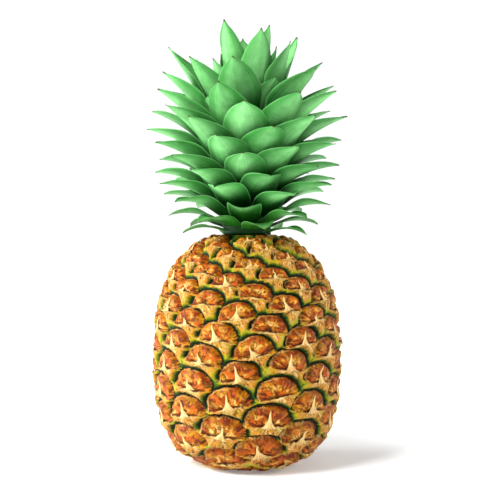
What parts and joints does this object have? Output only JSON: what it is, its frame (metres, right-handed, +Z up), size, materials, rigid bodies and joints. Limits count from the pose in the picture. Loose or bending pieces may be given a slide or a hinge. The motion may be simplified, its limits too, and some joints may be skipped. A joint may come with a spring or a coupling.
{
  "type": "pineapple",
  "caption": "Whole ripe pineapple standing on its cut base, with a barrel-shaped fruit of spiralling eyes and a full leafy crown.",
  "frame": {"origin": "middle of the flat cut stalk under the fruit, on the plane that the pineapple stands on", "axes": "+Z up along the fruit and its crown, -Y towards the front, +X to the right seen from the front"},
  "size_m": [0.1287, 0.1245, 0.2835],
  "materials": {
    "rind": "ripe golden-orange rind with green seams, waxy satin",
    "stalk": "dry fibrous cut stalk",
    "crown_leaf": "fresh green leaf, waxy satin with fine long veins"
  },
  "bodies": {
    "root": {"fruit": "rind", "stalk_stub": "stalk", "crown_stem": "crown_leaf", "leaf_01": "crown_leaf", "leaf_02": "crown_leaf", "leaf_03": "crown_leaf", "leaf_04": "crown_leaf", "leaf_05": "crown_leaf", "leaf_06": "crown_leaf", "leaf_07": "crown_leaf", "leaf_08": "crown_leaf", "leaf_09": "crown_leaf", "leaf_10": "crown_leaf", "leaf_11": "crown_leaf", "leaf_12": "crown_leaf", "leaf_13": "crown_leaf", "leaf_14": "crown_leaf", "leaf_15": "crown_leaf", "leaf_16": "crown_leaf", "leaf_17": "crown_leaf", "leaf_18": "crown_leaf", "leaf_19": "crown_leaf", "leaf_20": "crown_leaf", "leaf_21": "crown_leaf", "leaf_22": "crown_leaf", "leaf_23": "crown_leaf", "leaf_24": "crown_leaf", "leaf_25": "crown_leaf", "leaf_26": "crown_leaf", "leaf_27": "crown_leaf", "leaf_28": "crown_leaf", "leaf_29": "crown_leaf", "leaf_30": "crown_leaf", "leaf_31": "crown_leaf", "leaf_32": "crown_leaf", "leaf_33": "crown_leaf", "leaf_34": "crown_leaf", "leaf_35": "crown_leaf", "leaf_36": "crown_leaf", "leaf_37": "crown_leaf", "leaf_38": "crown_leaf", "leaf_39": "crown_leaf", "leaf_40": "crown_leaf", "leaf_41": "crown_leaf", "leaf_42": "crown_leaf", "leaf_43": "crown_leaf", "leaf_44": "crown_leaf", "leaf_45": "crown_leaf", "leaf_46": "crown_leaf", "leaf_47": "crown_leaf", "leaf_48": "crown_leaf", "leaf_49": "crown_leaf", "leaf_50": "crown_leaf", "leaf_51": "crown_leaf", "leaf_52": "crown_leaf", "leaf_53": "crown_leaf", "leaf_54": "crown_leaf", "leaf_55": "crown_leaf", "leaf_56": "crown_leaf", "leaf_57": "crown_leaf"}
  },
  "joints": []
}
